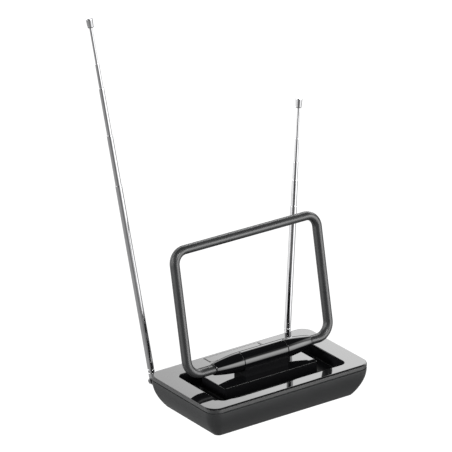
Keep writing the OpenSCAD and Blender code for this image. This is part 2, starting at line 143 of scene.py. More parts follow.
# Where each light fades in or out, along a direction's share upwards, to the right or left, or to the back
WALL_UP_IN, WALL_UP_OUT = (0.12, 0.33), (0.52, 0.66)
WALL_BACK_IN = (-0.35, 0.25)
SOFTBOX_RIGHT_IN = (0.40, 0.68)
SOFTBOX_UP_IN, SOFTBOX_UP_OUT = (-0.62, 0.22), (0.26, 0.50)
SOFTBOX_BACK_IN, SOFTBOX_BACK_OUT = (-0.85, -0.60), (-0.05, 0.25)
FILL_LEFT_IN = (0.55, 0.9)
FILL_UP_IN, FILL_UP_OUT = (-0.62, 0.28), (0.3, 0.6)
GROUND_UP_OUT = (-0.10, 0.02)


def add_camera():
    """The view: from the left front, a little above, with a long lens."""
    data = bpy.data.cameras.new("camera")
    data.lens = LENS_MM
    data.sensor_width = SENSOR_MM
    data.clip_start = CLIP_NEAR
    data.clip_end = CLIP_FAR
    camera = bpy.data.objects.new("camera", data)
    bpy.context.scene.collection.objects.link(camera)
    camera.location = CAMERA_PLACE
    camera.rotation_euler = (math.pi / 2 - VIEW_ELEVATION, 0, -VIEW_AZIMUTH)
    bpy.context.scene.camera = camera


def emptied_tree(owner):
    """The node tree of a world or a material, without the nodes it starts with."""
    owner.use_nodes = True
    owner.node_tree.nodes.clear()
    return owner.node_tree


def math_node(tree, operation, *values):
    """One Math node; its inputs are sockets or numbers."""
    node = tree.nodes.new("ShaderNodeMath")
    node.operation = operation
    for socket, value in zip(node.inputs, values):
        if isinstance(value, (int, float)):
            socket.default_value = value
        else:
            tree.links.new(value, socket)
    return node.outputs[0]


def ramp_node(tree, factor, stops):
    """A colour ramp of greys: stops are (position, value)."""
    node = tree.nodes.new("ShaderNodeValToRGB")
    tree.links.new(factor, node.inputs["Fac"])
    elements = node.color_ramp.elements
    elements[0].position, elements[1].position = stops[0][0], stops[-1][0]
    for position, _ in stops[1:-1]:
        elements.new(position)
    for element, (_, value) in zip(elements, stops):
        element.color = (value, value, value, 1)
    return node.outputs["Color"]


def between(tree, value, low, high, start=0.3, stop=0.7, fade="LINEAR"):
    """Maps start..stop to low..high. Most of a noise lies from 0.3 to 0.7."""
    node = tree.nodes.new("ShaderNodeMapRange")
    node.interpolation_type = fade
    tree.links.new(value, node.inputs["Value"])
    for name, number in (("From Min", start), ("From Max", stop), ("To Min", low), ("To Max", high)):
        node.inputs[name].default_value = number
    return node.outputs["Result"]


def seen_and_felt(tree, seen, felt, out):
    """Gives the output one shader for the camera's own rays and another for light on the object."""
    ray = tree.nodes.new("ShaderNodeLightPath")
    mix = tree.nodes.new("ShaderNodeMixShader")
    tree.links.new(ray.outputs["Is Camera Ray"], mix.inputs[0])
    tree.links.new(felt.outputs[0], mix.inputs[1])
    tree.links.new(seen.outputs[0], mix.inputs[2])
    tree.links.new(mix.outputs[0], out.inputs["Surface"])


def add_world():
    """What lights the object: a wall behind, a softbox at the right, a fill at the left and a dim ground,
    with near darkness between them. The camera itself sees plain white."""
    world = bpy.data.worlds.new("studio")
    bpy.context.scene.world = world
    tree = emptied_tree(world)
    place = tree.nodes.new("ShaderNodeTexCoord")

    def along(direction):
        """The share of a ray that goes along a direction, from -1 to 1."""
        dot = tree.nodes.new("ShaderNodeVectorMath")
        dot.operation = "DOT_PRODUCT"
        tree.links.new(place.outputs["Generated"], dot.inputs[0])
        dot.inputs[1].default_value = direction
        return dot.outputs["Value"]

    def levels(value, stops):
        """Brightness between stops of (position from -1 to 1, strength)."""
        share = math_node(tree, "MULTIPLY_ADD", value, 0.5, 0.5)
        grey = ramp_node(tree, share, [((p + 1) / 2, strength / LEVEL_LIMIT) for p, strength in stops])
        return math_node(tree, "MULTIPLY", grey, LEVEL_LIMIT)

    def fade_in(value, span):
        return between(tree, value, 0.0, 1.0, *span, fade="SMOOTHSTEP")

    def fade_out(value, span):
        return between(tree, value, 1.0, 0.0, *span, fade="SMOOTHSTEP")

    def product(first, *others):
        for other in others:
            first = math_node(tree, "MULTIPLY", first, other)
        return first

    up = along((0, 0, 1))
    back = along((math.sin(VIEW_AZIMUTH), math.cos(VIEW_AZIMUTH), 0))
    right = along((math.cos(VIEW_AZIMUTH), -math.sin(VIEW_AZIMUTH), 0))
    left = product(right, -1.0)
    across = math_node(tree, "ADD", right, math_node(tree, "MULTIPLY_ADD", up, WALL_SLANT, WALL_SHIFT))
    wall = product(levels(across, WALL_LEVELS), fade_in(up, WALL_UP_IN), fade_out(up, WALL_UP_OUT),
                   fade_in(back, WALL_BACK_IN))
    softbox = product(fade_in(right, SOFTBOX_RIGHT_IN), fade_in(up, SOFTBOX_UP_IN),
                      fade_out(up, SOFTBOX_UP_OUT), fade_in(back, SOFTBOX_BACK_IN),
                      fade_out(back, SOFTBOX_BACK_OUT), SOFTBOX)
    left_fill = product(fade_in(left, FILL_LEFT_IN), fade_in(up, FILL_UP_IN), fade_out(up, FILL_UP_OUT),
                        LEFT_FILL)
    ground = product(levels(back, GROUND_LEVELS), fade_out(up, GROUND_UP_OUT))
    total = wall
    for light in (softbox, left_fill, ground, AMBIENT):
        total = math_node(tree, "ADD", total, light)
    studio = tree.nodes.new("ShaderNodeBackground")
    tree.links.new(total, studio.inputs["Strength"])
    white = tree.nodes.new("ShaderNodeBackground")
    white.inputs["Color"].default_value = (1, 1, 1, 1)
    white.inputs["Strength"].default_value = BACKDROP_SEEN
    seen_and_felt(tree, white, studio, tree.nodes.new("ShaderNodeOutputWorld"))


def add_area(name, location, target, width, height, watts):
    """A rectangular softbox that faces its target."""
    data = bpy.data.lights.new(name, "AREA")
    data.shape = "RECTANGLE"
    data.size = width
    data.size_y = height
    data.energy = watts
    light = bpy.data.objects.new(name, data)
    bpy.context.scene.collection.objects.link(light)
    light.location = location
    light.rotation_euler = (Vector(target) - Vector(location)).to_track_quat("-Z", "Y").to_euler()
    return light


def add_lights():
    """A lamp in front, and one at the left that makes no highlight of its own."""
    add_area("front_softbox", location=(-0.4, -2.2, 1.9), target=(0, 0, 0.1),
             width=1.2, height=0.5, watts=42)
    side_light = add_area("left_softbox", location=(-2.6, -0.2, 0.8), target=(0, 0, 0.05),
                          width=0.8, height=0.5, watts=80)
    side_light.visible_glossy = False


def add_floor():
    """Plain white floor that takes no shadow: over white to the camera, and a weak light from below that
    doesn't show in the object's reflections."""
    mesh = bpy.data.meshes.new("floor")
    corners = [(x * FLOOR_HALF, y * FLOOR_HALF, 0) for x, y in ((-1, -1), (1, -1), (1, 1), (-1, 1))]
    mesh.from_pydata(corners, [], [(0, 1, 2, 3)])
    floor = bpy.data.objects.new("floor", mesh)
    bpy.context.scene.collection.objects.link(floor)
    material = bpy.data.materials.new("floor_white")
    tree = emptied_tree(material)
    seen = tree.nodes.new("ShaderNodeEmission")
    seen.inputs["Strength"].default_value = FLOOR_SEEN
    bounce = tree.nodes.new("ShaderNodeEmission")
    bounce.inputs["Strength"].default_value = FLOOR_BOUNCE
    seen_and_felt(tree, seen, bounce, tree.nodes.new("ShaderNodeOutputMaterial"))
    mesh.materials.append(material)
    floor.visible_glossy = False


# ---------- materials ----------

IOR = 1.5
# Noise scales, in cells per metre
BLOTCH_SCALE = 45
WIPE_SCALE = 260
ETCH_SCALE = 4800
RIPPLE_SCALE = 38
CLOUD_SCALE = 120
WIPE_STRETCH = (0.35, 1.6, 1)
RIPPLE_HEIGHT = 4e-6
# Etched and polished finish of one moulding; the etched face's much lower specular level is painted shade
# that darkens its reflection
ETCH_ROUGH = (0.34, 0.46)
PAINTED_SHADE_SPECULAR = 0.06
POLISHED_SPECULAR = 0.5
# The finish is etched, and its reflection dimmed as painted shade, lower than the first distance below the
# cover's top or the barrel's axis, and polished higher than the second
COVER_ETCH_AND_SHADE = (1.1 * MM, 0.5 * MM)
BARREL_ETCH_AND_SHADE = (6 * MM, 1 * MM)


def material_start(name, base, metallic=0.0, specular=POLISHED_SPECULAR):
    """A Principled material whose constants sit on the shader's own sockets."""
    material = bpy.data.materials.new(name)
    tree = emptied_tree(material)
    shader = tree.nodes.new("ShaderNodeBsdfPrincipled")
    shader.inputs["Base Color"].default_value = (*base, 1)
    shader.inputs["Metallic"].default_value = metallic
    shader.inputs["IOR"].default_value = IOR
    shader.inputs["Specular IOR Level"].default_value = specular
    out = tree.nodes.new("ShaderNodeOutputMaterial")
    tree.links.new(shader.outputs[0], out.inputs["Surface"])
    place = tree.nodes.new("ShaderNodeTexCoord")
    return material, tree, shader, place.outputs["Object"]


def noise_node(tree, place, scale, detail, stretch=(1, 1, 1)):
    """Noise at scale cells per metre, stretched along the axes."""
    mapping = tree.nodes.new("ShaderNodeMapping")
    mapping.inputs["Scale"].default_value = stretch
    tree.links.new(place, mapping.inputs["Vector"])
    noise = tree.nodes.new("ShaderNodeTexNoise")
    noise.inputs["Scale"].default_value = scale
    noise.inputs["Detail"].default_value = detail
    tree.links.new(mapping.outputs[0], noise.inputs["Vector"])
    return noise.outputs["Fac"]


def colour_by(tree, shader, noise, dark, light):
    """Base colour that wanders between dark and light with a noise."""
    mix = tree.nodes.new("ShaderNodeMix")
    mix.data_type = "RGBA"
    tree.links.new(between(tree, noise, 0, 1), mix.inputs["Factor"])
    mix.inputs["A"].default_value = (*dark, 1)
    mix.inputs["B"].default_value = (*light, 1)
    tree.links.new(mix.outputs["Result"], shader.inputs["Base Color"])


def rough_by(tree, shader, noise, rough):
    """Roughness that wanders within its pair of limits with a noise."""
    tree.links.new(between(tree, noise, *rough), shader.inputs["Roughness"])


def bump(tree, shader, height, distance):
    """Relief of a distance in metres between the noise's 0 and 1."""
    node = tree.nodes.new("ShaderNodeBump")
    node.inputs["Distance"].default_value = distance
    tree.links.new(height, node.inputs["Height"])
    tree.links.new(node.outputs[0], shader.inputs["Normal"])


def moulded_plastic(name, dark, light, rough, grain, grain_height, specular=POLISHED_SPECULAR):
    """Satin moulding: spark-eroded grain, faint blotches of sheen and colour."""
    material, tree, shader, place = material_start(name, dark, specular=specular)
    fine = noise_node(tree, place, grain, detail=2.0)
    broad = noise_node(tree, place, BLOTCH_SCALE, detail=4.0)
    colour_by(tree, shader, broad, dark, light)
    rough_by(tree, shader, broad, rough)
    bump(tree, shader, fine, grain_height)
    return material


def gloss_plastic(name, base, rough, etched_shaded_below, polished_above):
    """Polished black moulding: a faint ripple, fine wipe marks, and an etched face below a height, where a
    cut in the specular level paints shade into its reflection.
    """
    material, tree, shader, place = material_start(name, base)
    split = tree.nodes.new("ShaderNodeSeparateXYZ")
    tree.links.new(place, split.inputs[0])
    polished = between(tree, split.outputs["Z"], 0, 1, etched_shaded_below, polished_above)
    wipes = noise_node(tree, place, WIPE_SCALE, detail=5.0, stretch=WIPE_STRETCH)
    sheen = between(tree, wipes, *rough, start=0.35, stop=0.75)
    etched = noise_node(tree, place, ETCH_SCALE, detail=2.0)
    coarse = between(tree, etched, *ETCH_ROUGH)
    mix = tree.nodes.new("ShaderNodeMix")
    tree.links.new(polished, mix.inputs["Factor"])
    tree.links.new(coarse, mix.inputs["A"])
    tree.links.new(sheen, mix.inputs["B"])
    tree.links.new(mix.outputs["Result"], shader.inputs["Roughness"])
    # Painted shade: below the etched height the specular level falls far under the plastic's own, so the
    # lower faces reflect almost nothing
    specular = between(tree, polished, PAINTED_SHADE_SPECULAR, POLISHED_SPECULAR, 0, 1)
    tree.links.new(specular, shader.inputs["Specular IOR Level"])
    ripple = noise_node(tree, place, RIPPLE_SCALE, detail=1.0)
    bump(tree, shader, ripple, RIPPLE_HEIGHT)
    return material


def plated_metal(name, dark, light, rough, scratch=(1, 1, 1), scratch_scale=900, scratch_height=1.5e-6):
    """Plated or turned metal: cloudy colour, and streaks of sheen along the scratch direction."""
    material, tree, shader, place = material_start(name, light, metallic=1.0)
    streak = noise_node(tree, place, scratch_scale, detail=4.0, stretch=scratch)
    cloud = noise_node(tree, place, CLOUD_SCALE, detail=3.0)
    colour_by(tree, shader, cloud, dark, light)
    rough_by(tree, shader, streak, rough)
    bump(tree, shader, streak, scratch_height)
    return material


def plain_part(name, dark, light, rough, grain, grain_height):
    """Small inner parts: blotched colour, grain and sheen."""
    material, tree, shader, place = material_start(name, light)
    noise = noise_node(tree, place, grain, detail=4.0)
    colour_by(tree, shader, noise, dark, light)
    rough_by(tree, shader, noise, rough)
    bump(tree, shader, noise, grain_height)
    return material


def make_materials():
    """Each of the record's slots and its material."""
    return {
        "shell_plastic": moulded_plastic(
            "shell_plastic", dark=(0.017, 0.0175, 0.018), light=(0.021, 0.0215, 0.022),
            rough=(0.42, 0.50), grain=5200, grain_height=2.2e-5, specular=0.25),
        "rim_plastic": moulded_plastic(
            "rim_plastic", dark=(0.022, 0.0225, 0.023), light=(0.027, 0.0275, 0.028),
            rough=(0.30, 0.36), grain=5200, grain_height=0.8e-5),
        "gloss_cover": gloss_plastic(
            "gloss_cover", base=(0.004, 0.004, 0.0045), rough=(0.02, 0.05),
            etched_shaded_below=TOP_Z - COVER_ETCH_AND_SHADE[0], polished_above=TOP_Z - COVER_ETCH_AND_SHADE[1]),
        "gloss_barrel": gloss_plastic(
            "gloss_barrel", base=(0.003, 0.003, 0.0035), rough=(0.03, 0.07),
            etched_shaded_below=BARREL.z - BARREL_ETCH_AND_SHADE[0], polished_above=BARREL.z - BARREL_ETCH_AND_SHADE[1]),
        "loop_plastic": moulded_plastic(
            "loop_plastic", dark=(0.018, 0.0185, 0.019), light=(0.023, 0.0235, 0.024),
            rough=(0.30, 0.38), grain=4200, grain_height=0.5e-5),
        "chrome_tube": plated_metal(
            "chrome_tube", dark=(0.58, 0.58, 0.59), light=(0.66, 0.66, 0.67),
            rough=(0.04, 0.10), scratch=(1, 1, 0.04), scratch_scale=1400, scratch_height=0.8e-6),
        "nickel_fitting": plated_metal(
            "nickel_fitting", dark=(0.22, 0.22, 0.225), light=(0.34, 0.34, 0.345), rough=(0.12, 0.26)),
        "zinc_steel": plated_metal(
            "zinc_steel", dark=(0.50, 0.50, 0.50), light=(0.62, 0.62, 0.60), rough=(0.24, 0.42)),
        "brass_bush": plated_metal(
            "brass_bush", dark=(0.62, 0.46, 0.18), light=(0.72, 0.55, 0.24), rough=(0.18, 0.32)),
        "aluminium_wire": plated_metal(
            "aluminium_wire", dark=(0.74, 0.75, 0.76), light=(0.84, 0.85, 0.86), rough=(0.22, 0.38)),
        "nylon_washer": plain_part(
            "nylon_washer", dark=(0.010, 0.010, 0.010), light=(0.016, 0.016, 0.016),
            rough=(0.40, 0.55), grain=900, grain_height=6e-6),
        "rubber_foot": plain_part(
            "rubber_foot", dark=(0.016, 0.016, 0.016), light=(0.026, 0.026, 0.026),
            rough=(0.7, 0.85), grain=1800, grain_height=2e-5),
        "board_laminate": plain_part(
            "board_laminate", dark=(0.012, 0.10, 0.045), light=(0.02, 0.15, 0.07),
            rough=(0.25, 0.4), grain=700, grain_height=4e-6),
        "ferrite": plain_part(
            "ferrite", dark=(0.035, 0.032, 0.03), light=(0.07, 0.06, 0.055),
            rough=(0.55, 0.75), grain=1500, grain_height=2e-5),
        "ceramic_part": plain_part(
            "ceramic_part", dark=(0.40, 0.13, 0.03), light=(0.52, 0.20, 0.06),
            rough=(0.25, 0.4), grain=500, grain_height=1e-5),
    }


# ---------- mesh tools ----------

# Edges sharper than this stay crisp in the shading of pieces that are built here
CREASE_ANGLE = math.radians(35)
# Softening of the CAD's own shapes: points closer than this join, faces flatter than this merge, and edges
# sharper than this are rounded
MERGE_DISTANCE = 1e-6
FLAT_ANGLE = math.radians(0.5)
ROUNDED_ANGLE = math.radians(40)
ROUNDING_SEGMENTS = 2


def finish_piece(node, mesh, body, slot, weighted=True):
    """Makes the shaded piece that rides on a body and stands for a CAD node."""
    for polygon in mesh.polygons:
        polygon.use_smooth = True
    mesh.set_sharp_from_angle(angle=CREASE_ANGLE)
    mesh.materials.clear()
    mesh.materials.append(MATERIALS[slot])
    piece = bpy.data.objects.new(node + "_piece", mesh)
    bpy.context.scene.collection.objects.link(piece)
    if weighted:
        modifier = piece.modifiers.new("weighted_normals", "WEIGHTED_NORMAL")
        modifier.keep_sharp = True
    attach(piece, body)
    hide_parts(node)
    return piece


def ring_mesh(rings, closed=False):
    """A mesh through rings of equal length. Open stacks get a face at each end, closed ones join up."""
    count = len(rings[0])
    points = [tuple(point) for ring in rings for point in ring]
    faces = []
    for k in range(len(rings) if closed else len(rings) - 1):
        here, there = k * count, (k + 1) % len(rings) * count
        for i in range(count):
            j = (i + 1) % count
            faces.append((here + i, here + j, there + j, there + i))
    if not closed:
        faces.append(tuple(reversed(range(count))))
        last = (len(rings) - 1) * count
        faces.append(tuple(range(last, last + count)))
    mesh = bpy.data.meshes.new("rings")
    mesh.from_pydata(points, [], faces)
    work = bmesh.new()
    work.from_mesh(mesh)
    bmesh.ops.recalc_face_normals(work, faces=work.faces)
    work.to_mesh(mesh)
    work.free()
    return mesh


def box_mesh(x0, x1, y0, y1, z0, z1):
    """A plain block between pairs of places."""
    corners = ((x0, y0), (x1, y0), (x1, y1), (x0, y1))
    return ring_mesh([[(x, y, z) for x, y in corners] for z in (z0, z1)])


def full_turn(segments):
    """Angles of equal steps round a circle."""
    return [2 * math.pi * i / segments for i in range(segments)]


def arc(cx, cy, radius, start, stop, steps):
    """Points of an arc, angles in degrees."""
    turn = [math.radians(start + (stop - start) * i / steps) for i in range(steps + 1)]
    return [(cx + radius * math.cos(a), cy + radius * math.sin(a)) for a in turn]


def outline(width, depth, radius, z, mid_y=0.0, steps=14):
    """Rounded rectangle at height z, anticlockwise."""
    half_w, half_d = width / 2 - radius, depth / 2 - radius
    corners = ((half_w, half_d, 0), (-half_w, half_d, 90), (-half_w, -half_d, 180), (half_w, -half_d, 270))
    return [Vector((x, y + mid_y, z))
            for cx, cy, a in corners
            for x, y in arc(cx, cy, radius, a, a + 90, steps)]


def turned(origin, axis, profile, segments=48, closed=False):
    """A turned solid: profile is (height along axis, radius) from end to end, or all round a tube's wall."""
    axis = Vector(axis).normalized()
    side = axis.cross(Vector((0, 1, 0))).normalized()
    other = axis.cross(side)
    rings = []
    for height, radius in profile:
        middle = Vector(origin) + axis * height
        rings.append([middle + (side * math.cos(a) + other * math.sin(a)) * radius
                      for a in full_turn(segments)])
    return ring_mesh(rings, closed)


def reach(node, origin, axis):
    """Lowest and highest place of a CAD node along an axis, and its largest radius about it."""
    axis = Vector(axis).normalized()
    offsets = [v.co - Vector(origin) for v in frame["nodes"][node].data.vertices]
    heights = [o.dot(axis) for o in offsets]
    radius = max((o - axis * h).length for o, h in zip(offsets, heights))
    return min(heights), max(heights), radius


def boolean(mesh, cutters, operation):
    """mesh with each cutter mesh added or taken away."""
    target = bpy.data.objects.new("work", mesh)
    bpy.context.scene.collection.objects.link(target)
    for cutter in cutters:
        tool = bpy.data.objects.new("tool", cutter)
        bpy.context.scene.collection.objects.link(tool)
        modifier = target.modifiers.new("cut", "BOOLEAN")
        modifier.operation = operation
        modifier.solver = "EXACT"
        modifier.object = tool
        mesh = bpy.data.meshes.new_from_object(target.evaluated_get(bpy.context.evaluated_depsgraph_get()))
        target.modifiers.clear()
        target.data = mesh
        bpy.data.objects.remove(tool)
    bpy.data.objects.remove(target)
    return mesh


def softened(node, width):
    """A CAD node's own shape with every sharp edge rounded, as a new piece that stands for it."""
    source = frame["nodes"][node]
    mesh = source.data.copy()
    work = bmesh.new()
    work.from_mesh(mesh)
    bmesh.ops.remove_doubles(work, verts=work.verts, dist=MERGE_DISTANCE)
    bmesh.ops.dissolve_limit(work, angle_limit=FLAT_ANGLE, verts=work.verts, edges=work.edges)
    work.to_mesh(mesh)
    work.free()
    piece = finish_piece(node, mesh, source["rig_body"], SLOTS[node], weighted=False)
    modifier = piece.modifiers.new("edges", "BEVEL")
    modifier.width = width
    modifier.segments = ROUNDING_SEGMENTS
    modifier.limit_method = "ANGLE"
    modifier.angle_limit = ROUNDED_ANGLE
    modifier.harden_normals = True


# ---------- base ----------

RIM_LOW, RIM_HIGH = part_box("rim_frame")
SHELL_LOW, SHELL_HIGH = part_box("base_shell")
COAX_LOW, COAX_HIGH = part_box("coax_socket")
BASE_W = RIM_HIGH.x - RIM_LOW.x
BASE_D = RIM_HIGH.y - RIM_LOW.y
BASE_BACK = BASE_D / 2
TOP_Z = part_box("top_cover")[1].z
RIM_TOP = RIM_HIGH.z
SEAM_Z = SHELL_HIGH.z
FLOOR_Z = SHELL_LOW.z
COAX_Z = (COAX_LOW.z + COAX_HIGH.z) / 2
WELL_MID = (WELL_FRONT + WELL_BACK) / 2
WELL_SPAN = WELL_BACK - WELL_FRONT


def base_ring(end, front, radius, z):
    """Outline of the base, drawn in at its ends and at its front and back."""
    return outline(BASE_W - 2 * end, BASE_D - 2 * front, radius, z)


def boat_ring(curve, skin, z):
    """Outline of the shell: curve is 0 at the widest line and 1 at the bottom edge."""
    return base_ring(END_INSET * curve + skin, FRONT_INSET * curve + skin,
                     CORNER_R - END_INSET * curve / 2 - skin, z)


def boat_hull():
    """The lower shell without its bosses and pockets: parabolic sides, hollow, open at the top."""
    steps = 22
    edge = 0.3 * MM
    bottom_edge, bottom_soft, bottom_rise = 1.2 * MM, 0.1 * MM, 0.2 * MM
    side_start = FLOOR_Z + 0.5 * MM
    floor_top = FLOOR_Z + SHELL_WALL
    inner_start = floor_top + MM
    bottom_curve, inner_curve = 0.985, 0.87
    height = SEAM_Z - FLOOR_Z
    side = [((i / steps) ** 2, SEAM_Z - height * i / steps) for i in range(steps + 1)]
    rings = [boat_ring(1, bottom_edge, FLOOR_Z), boat_ring(bottom_curve, bottom_soft, FLOOR_Z + bottom_rise)]
    rings += [boat_ring(curve, 0, z) for curve, z in reversed(side) if side_start < z < SEAM_Z - edge]
    rings += [boat_ring(0, 0, SEAM_Z - edge), boat_ring(0, edge, SEAM_Z), boat_ring(0, SHELL_WALL, SEAM_Z)]
    rings += [boat_ring(curve, SHELL_WALL, z) for curve, z in side if inner_start < z < SEAM_Z]
    rings.append(boat_ring(inner_curve, SHELL_WALL, floor_top))
    return ring_mesh(rings)


def back_boss(x, z, radius, start, stop, edge=0.5 * MM):
    """Round boss or bore along Y, with its outer edge softened where edge isn't 0."""
    profile = [(0, radius)]
    if edge:
        profile += reversed(arc(stop - start - edge, radius - edge, edge, 0, 90, steps=4))
    else:
        profile.append((stop - start, radius))
    return turned((x, start, z), (0, 1, 0), profile)


def bottom_pocket(x, y, radius, top):
    """Round pocket from below the table's height up to its top."""
    below = 1 * MM
    return turned((x, y, -below), (0, 0, 1), [(0, radius), (top + below, radius)], segments=40)


def bottom_pockets():
    """Pockets in the underside: five for the feet and four for the case screws."""
    foot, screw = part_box("rubber_feet")[1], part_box("case_screws")[1]
    foot_x, foot_y = foot.x - FOOT_R, foot.y - FOOT_R
    screw_x, screw_y = screw.x - SCREW_HEAD_R, screw.y - SCREW_HEAD_R
    pockets = [bottom_pocket(0, 0, FOOT_R + FOOT_GAP, foot.z)]
    for sx in (-1, 1):
        for sy in (-1, 1):
            pockets.append(bottom_pocket(sx * foot_x, sy * foot_y, FOOT_R + FOOT_GAP, foot.z))
            pockets.append(bottom_pocket(sx * screw_x, sy * screw_y, SCREW_POCKET_R, SCREW_POCKET_TOP))
    return pockets


def build_base_shell():
    """Boat-shaped lower shell with bosses at the back and pockets underneath."""
    pivot_boss_depth, pivot_bore_depth, coax_boss_depth = 8 * MM, 12 * MM, 7.5 * MM
    bore_past = 5 * MM
    bosses, bores = [], []
    for name in SIDES:
        pivot = Vector(JOINTS[name + "_swivel"]["pos_m"])
        bosses.append(back_boss(pivot.x, pivot.z, PIVOT_BOSS_R, BASE_BACK - pivot_boss_depth, SHELL_HIGH.y))
        bores.append(back_boss(pivot.x, pivot.z, PIVOT_BORE_R, BASE_BACK - pivot_bore_depth,
                               SHELL_HIGH.y + bore_past, edge=0))
    bosses.append(back_boss(0, COAX_Z, COAX_BOSS_R, BASE_BACK - coax_boss_depth, SHELL_HIGH.y))
    mesh = boolean(boat_hull(), bosses, "UNION")
    mesh = boolean(mesh, bottom_pockets() + bores, "DIFFERENCE")
    finish_piece("base_shell", mesh, "base", "shell_plastic")


def build_rim():
    """Satin band between shell and cover, with softened edges and a lip that drops into the shell."""
    edge, fine_edge = 0.3 * MM, 0.12 * MM
    lip = SHELL_WALL + 0.1 * MM
    shadow_gap, gap_depth = 1.1 * MM, 1.4 * MM
    gap_top = SEAM_Z + shadow_gap
    profile = [(lip, RIM_LOW.z), (lip, SEAM_Z), (gap_depth, SEAM_Z), (gap_depth, gap_top),
               (fine_edge, gap_top), (0, gap_top + fine_edge)]
    profile += [(edge - x, z) for x, z in arc(0, RIM_TOP - edge, edge, 0, 90, steps=5)]
    profile += [(RIM_WALL, RIM_TOP), (RIM_WALL, RIM_LOW.z)]
    rings = [base_ring(inset, inset, CORNER_R - inset, z) for inset, z in profile]
    finish_piece("rim_frame", ring_mesh(rings, closed=True), "base", "rim_plastic")


def well_ring(offset, z):
    """Ring parallel to the well's outline; a positive offset is outside it."""
    return outline(WELL_W + 2 * offset, WELL_SPAN + 2 * offset, WELL_R + offset, z, WELL_MID)


def island_ring(offset, z):
    """Ring parallel to the island's outline; a positive offset is outside it."""
    return outline(ISLAND_W + 2 * offset, ISLAND_D + 2 * offset, max(ISLAND_R + offset, ISLAND_MIN_R), z)


def cover_bevel(plate_low):
    """Rings of the cover's rounded rim, which draws in further at the front and back than at the ends."""
    end_gap, end_bevel = 0.1 * MM, 0.5 * MM
    front_gap, front_bevel = 0.2 * MM, 2.2 * MM
    corner_gain = 0.8 * MM
    steps = 8
    rings = []
    for step in range(steps + 1):
        turn = math.pi / 2 * step / steps
        share = 1 - math.cos(turn)
        z = TOP_Z - (TOP_Z - plate_low) * (1 - math.sin(turn))
        rings.append(base_ring(end_gap + end_bevel * share, front_gap + front_bevel * share,
                               CORNER_R + corner_gain * share, z))
    return rings


def build_cover():
    """Glossy cover: the tub and hollow underneath, the skirt, bevelled rim, sunken well and island."""
    well_floor = TOP_Z - WELL_DEPTH
    lip_r, foot_r, island_edge = 0.7 * MM, 1.2 * MM, 0.45 * MM
    foot_z = well_floor + foot_r
    draft = 0.25 * MM
    wall = 2 * MM
    skirt_z = TOP_Z - 3 * MM
    plate_low = RIM_TOP + 0.02 * MM
    inner = RIM_WALL + 0.1 * MM
    steps = 6
    rings = [island_ring(-wall, TOP_Z - wall), island_ring(-wall, well_floor - wall),
             well_ring(wall, well_floor - wall), well_ring(wall, skirt_z)]
    rings += [base_ring(inner, inner, CORNER_R - inner, z) for z in (skirt_z, plate_low)]
    rings += cover_bevel(plate_low)
    rings += [well_ring(lip_r - x, z) for x, z in reversed(arc(0, TOP_Z - lip_r, lip_r, 0, 90, steps))]
    rings += [well_ring(x - draft - foot_r, z) for x, z in arc(0, foot_z, foot_r, 0, -90, steps)]
    rings += [island_ring(draft + foot_r - x, z) for x, z in reversed(arc(0, foot_z, foot_r, 0, -90, steps))]
    rings += [island_ring(x - island_edge, z)
              for x, z in arc(0, TOP_Z - island_edge, island_edge, 0, 90, steps)]
    rings.reverse()
    low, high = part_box("rear_hatch")
    gap, recess = 0.35 * MM, 1.6 * MM
    slot = box_mesh(low.x - gap, high.x + gap, low.y - gap, high.y + gap, TOP_Z - recess, TOP_Z + MM)
    finish_piece("top_cover", boolean(ring_mesh(rings), [slot], "DIFFERENCE"), "base", "gloss_cover")


def build_pedestal():
    """Barrel's fixed middle on its block, bored for the bushes."""
    low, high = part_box("pivot_pedestal")
    edge, soft = 0.5 * MM, 0.1 * MM
    steps = 40
    rings = []
    for x, shrink in ((low.x, edge), (low.x + soft, soft), (low.x + edge, 0),
                      (high.x - edge, 0), (high.x - soft, soft), (high.x, edge)):
        radius = BARREL_R - shrink
        section = arc(0, BARREL.z, radius, 0, 180, steps)
        section += [(-radius, low.z), (0, low.z), (radius, low.z)]
        rings.append([(x, y, z) for y, z in section])
    bore = arc(0, BARREL.z, BUSH_R, 0, 180, steps) + arc(0, BARREL.z, BUSH_R, 225, 315, steps=2)
    rings += [[(x, y, z) for y, z in bore] for x in (high.x, low.x)]
    finish_piece("pivot_pedestal", ring_mesh(rings, closed=True), "base", "gloss_barrel")


# ---------- loop ----------

LOOP_UP = Vector((0, math.sin(LOOP_LEAN), math.cos(LOOP_LEAN)))
LOOP_BACK = Vector((0, math.cos(LOOP_LEAN), -math.sin(LOOP_LEAN)))
ACROSS = Vector((1, 0, 0))
TUBE_HALF = TUBE_T / 2
TUBE_FLANK = (TUBE_D - TUBE_T) / 2


def loop_point(x, up):
    """A point of the loop's middle plane, up from the barrel's axis along the loop's lean."""
    return Vector((x, BARREL.y, BARREL.z)) + LOOP_UP * up


def loop_path():
    """Points and outward directions along the tube's centre line, from the left cap to the right one."""
    steps = 18
    places = [((BARREL.x - TUBE_START, 0), (0, -1))]
    bends = ((-LOOP_HALF_W + BOTTOM_BEND, BOTTOM_BEND, BOTTOM_BEND, 270, 180),
             (-LOOP_HALF_W + TOP_BEND, LOOP_H - TOP_BEND, TOP_BEND, 180, 90),
             (LOOP_HALF_W - TOP_BEND, LOOP_H - TOP_BEND, TOP_BEND, 90, 0),
             (LOOP_HALF_W - BOTTOM_BEND, BOTTOM_BEND, BOTTOM_BEND, 0, -90))
    for cx, cz, radius, start, stop in bends:
        for i in range(steps + 1):
            a = math.radians(start + (stop - start) * i / steps)
            away = (math.cos(a), math.sin(a))
            places.append(((cx + radius * away[0], cz + radius * away[1]), away))
    places.append(((BARREL.x + TUBE_START, 0), (0, -1)))
    return places


